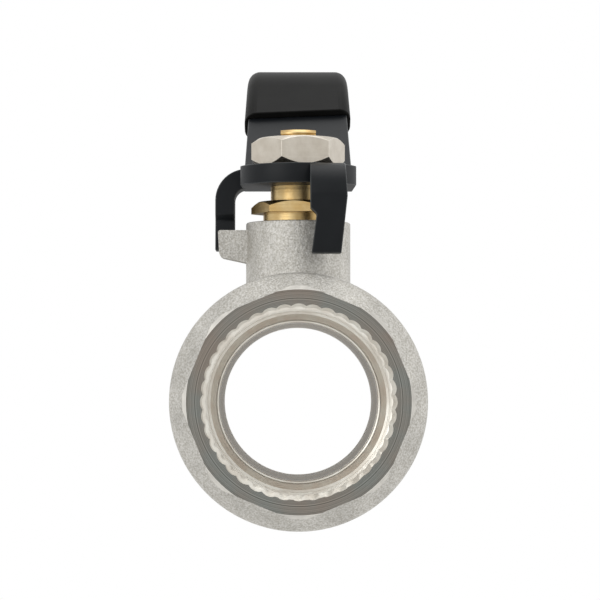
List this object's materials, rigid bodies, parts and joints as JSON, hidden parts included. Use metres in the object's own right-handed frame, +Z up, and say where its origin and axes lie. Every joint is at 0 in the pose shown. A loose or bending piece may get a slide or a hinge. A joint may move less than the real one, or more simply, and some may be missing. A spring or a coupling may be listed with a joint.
{
  "type": "ball valve",
  "caption": "Full-bore quarter-turn ball valve for a bulk container, with threaded octagonal ports, gland nut, and a bent lever with stop tabs and a grip sleeve.",
  "frame": {"origin": "centre of the tank port's end face, on the bore's axis", "axes": "+Y along the bore from the tank port towards the outlet port, +Z up the stem towards the lever, +X to the right when looking into the tank port; the lever lies along +Y with the valve open"},
  "size_m": [0.082, 0.2289, 0.1609],
  "materials": {
    "nickel_plated_brass": "shot-blasted nickel plate with turned faces",
    "chromed_brass": "polished hard chrome plate on brass",
    "bare_brass": "turned bare brass",
    "nickel_plated_nut": "satin nickel plate",
    "black_coated_steel": "semi-matte black coating on steel plate",
    "black_pvc": "matte dipped PVC",
    "ptfe": "white PTFE",
    "nitrile_rubber": "black nitrile rubber"
  },
  "bodies": {
    "valve_body": {"body": "nickel_plated_brass", "end_connection": "nickel_plated_brass", "body_seal": "ptfe", "seat_front": "ptfe", "seat_rear": "ptfe", "stem_thrust_washer": "ptfe", "packing_ring_lower": "ptfe", "packing_ring_middle": "ptfe", "packing_ring_upper": "ptfe", "gland_ring": "bare_brass", "gland_nut": "bare_brass"},
    "lever_and_ball": {"lever": "black_coated_steel", "grip_sleeve": "black_pvc", "lever_nut": "nickel_plated_nut", "stem": "bare_brass", "stem_o_ring": "nitrile_rubber", "ball": "chromed_brass"}
  },
  "joints": [
    {"name": "lever_turn", "type": "hinge", "parent": "valve_body", "child": "lever_and_ball", "pos_m": [0, 0.0575, 0.0734], "axis": [0, 0, 1], "range_deg": [-90, 0]}
  ]
}
